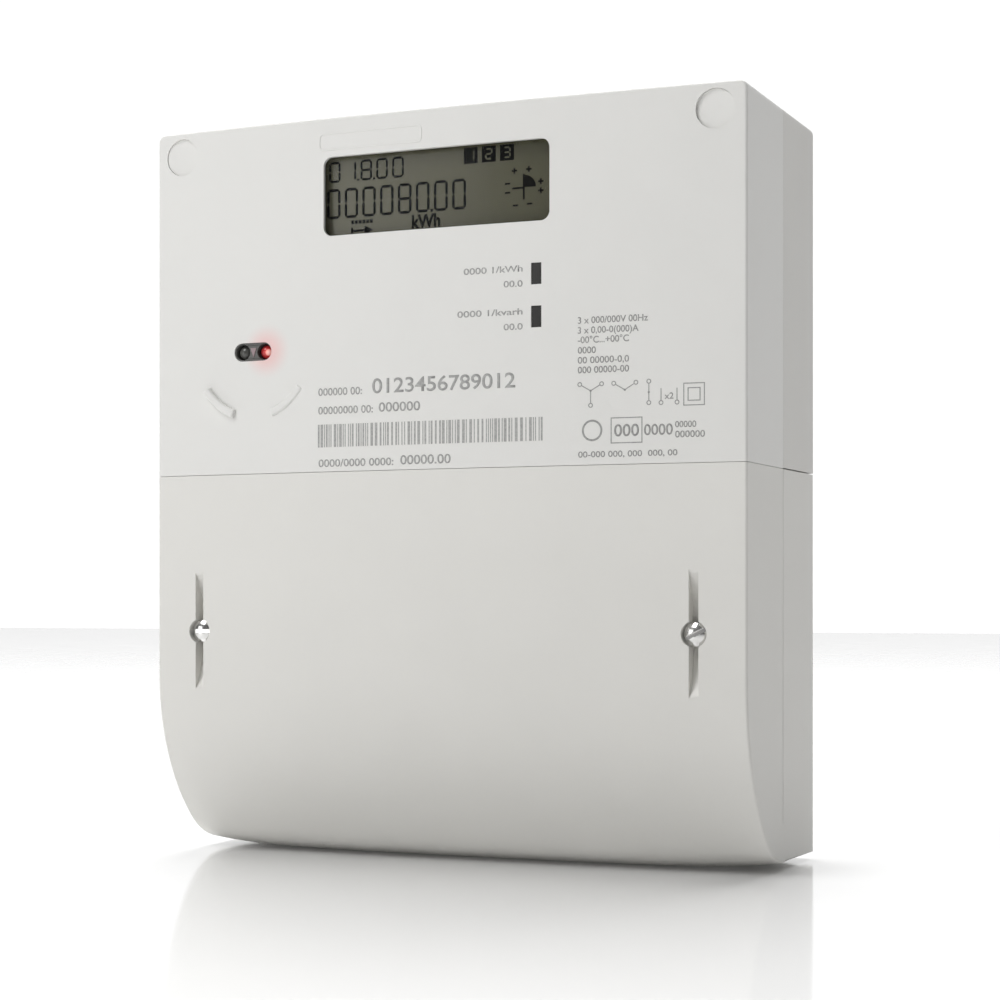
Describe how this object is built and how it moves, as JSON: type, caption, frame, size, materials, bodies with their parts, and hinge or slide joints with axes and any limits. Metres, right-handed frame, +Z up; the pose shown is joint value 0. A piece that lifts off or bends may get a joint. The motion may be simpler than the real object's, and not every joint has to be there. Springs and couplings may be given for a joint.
{
  "type": "smart electric meter",
  "caption": "Wall-mounted polyphase electricity meter with a display, optical port, clamp terminals and a terminal cover held by captive slotted screws.",
  "frame": {"origin": "under the middle of the case, at the height of its lower edge", "axes": "+X to the right as the meter is read, -Y towards the reader, +Y towards the wall, +Z up"},
  "size_m": [0.168, 0.063, 0.195],
  "materials": {
    "rear_case_plastic": "fine-textured off-white moulded plastic",
    "front_cover_plastic": "satin off-white moulded plastic",
    "terminal_cover_plastic": "satin off-white moulded plastic, slightly warmer",
    "seal_rubber": "soft dark rubber",
    "terminal_block_plastic": "dark glass-filled plastic",
    "terminal_brass": "machined brass",
    "zinc_steel": "zinc-plated steel",
    "busbar_copper": "punched copper strip",
    "transformer_resin": "potted blue resin",
    "aux_block_plastic": "grey moulded plastic",
    "board_laminate": "green solder-masked laminate",
    "holder_plastic": "white moulded plastic",
    "display_face": "olive reflective liquid-crystal glass",
    "supply_core": "yellow tape over laminations",
    "capacitor_sleeve": "dark printed-free sleeve",
    "varistor_coating": "dipped blue coating",
    "battery_sleeve": "sleeved metal can",
    "chip_resin": "moulded resin",
    "clear_led": "clear resin",
    "dark_opto": "dark infrared-pass resin",
    "red_emitter": "lit red resin",
    "clear_window": "clear polished window",
    "smoked_window": "smoked resin",
    "screw_nickel": "nickel-plated steel",
    "nylon": "natural nylon"
  },
  "bodies": {
    "housing": {"base_case": "rear_case_plastic", "case_gasket": "seal_rubber", "terminal_block": "terminal_block_plastic", "terminal_l1_in": "terminal_brass", "terminal_l1_out": "terminal_brass", "terminal_l2_in": "terminal_brass", "terminal_l2_out": "terminal_brass", "terminal_l3_in": "terminal_brass", "terminal_l3_out": "terminal_brass", "terminal_n_in": "terminal_brass", "terminal_n_out": "terminal_brass", "terminal_screws": "zinc_steel", "busbar_l1": "busbar_copper", "busbar_l2": "busbar_copper", "busbar_l3": "busbar_copper", "neutral_link": "busbar_copper", "current_transformer_l1": "transformer_resin", "current_transformer_l2": "transformer_resin", "current_transformer_l3": "transformer_resin", "aux_terminal_block": "aux_block_plastic", "aux_terminal_screws": "zinc_steel", "cover_screw_inserts": "terminal_brass", "main_board": "board_laminate", "board_screws": "zinc_steel", "display_holder": "holder_plastic", "display_backlight": "holder_plastic", "display_glass": "display_face", "display_contacts": "seal_rubber", "supply_transformer": "supply_core", "supply_capacitors": "capacitor_sleeve", "surge_varistors": "varistor_coating", "backup_battery": "battery_sleeve", "metering_chip": "chip_resin", "processor_chip": "chip_resin", "pulse_leds": "clear_led", "optical_holder": "dark_opto", "optical_emitter": "red_emitter", "optical_receiver": "dark_opto"},
    "front_cover": {"front_cover": "front_cover_plastic", "display_window": "clear_window", "pulse_windows": "smoked_window", "optical_window": "dark_opto", "corner_plug_left": "front_cover_plastic", "corner_plug_right": "front_cover_plastic", "case_screws": "zinc_steel"},
    "terminal_cover": {"terminal_cover": "terminal_cover_plastic"},
    "screw_retainer_left": {"screw_retainer_left": "nylon"},
    "cover_screw_left": {"cover_screw_left": "screw_nickel"},
    "screw_retainer_right": {"screw_retainer_right": "nylon"},
    "cover_screw_right": {"cover_screw_right": "screw_nickel"}
  },
  "joints": [
    {"name": "terminal_cover_slide", "type": "slide", "parent": "housing", "child": "terminal_cover", "axis": [0, -1, 0], "range_m": [0, 0.07]},
    {"name": "front_cover_slide", "type": "slide", "parent": "housing", "child": "front_cover", "axis": [0, -1, 0], "range_m": [0, 0.06]},
    {"name": "left_screw_travel", "type": "slide", "parent": "terminal_cover", "child": "screw_retainer_left", "axis": [0, -1, 0], "range_m": [0, 0.007]},
    {"name": "left_screw_turn", "type": "hinge", "parent": "screw_retainer_left", "child": "cover_screw_left", "pos_m": [-0.0705, -0.0285, 0.0593], "axis": [0, -1, 0], "range_deg": [0, 3600]},
    {"name": "right_screw_travel", "type": "slide", "parent": "terminal_cover", "child": "screw_retainer_right", "axis": [0, -1, 0], "range_m": [0, 0.007]},
    {"name": "right_screw_turn", "type": "hinge", "parent": "screw_retainer_right", "child": "cover_screw_right", "pos_m": [0.0705, -0.0285, 0.0593], "axis": [0, -1, 0], "range_deg": [0, 3600]}
  ],
  "couplings": [
    {"joint": "left_screw_turn", "follows": "left_screw_travel", "rad_per_m": 8976},
    {"joint": "right_screw_turn", "follows": "right_screw_travel", "rad_per_m": 8976}
  ]
}
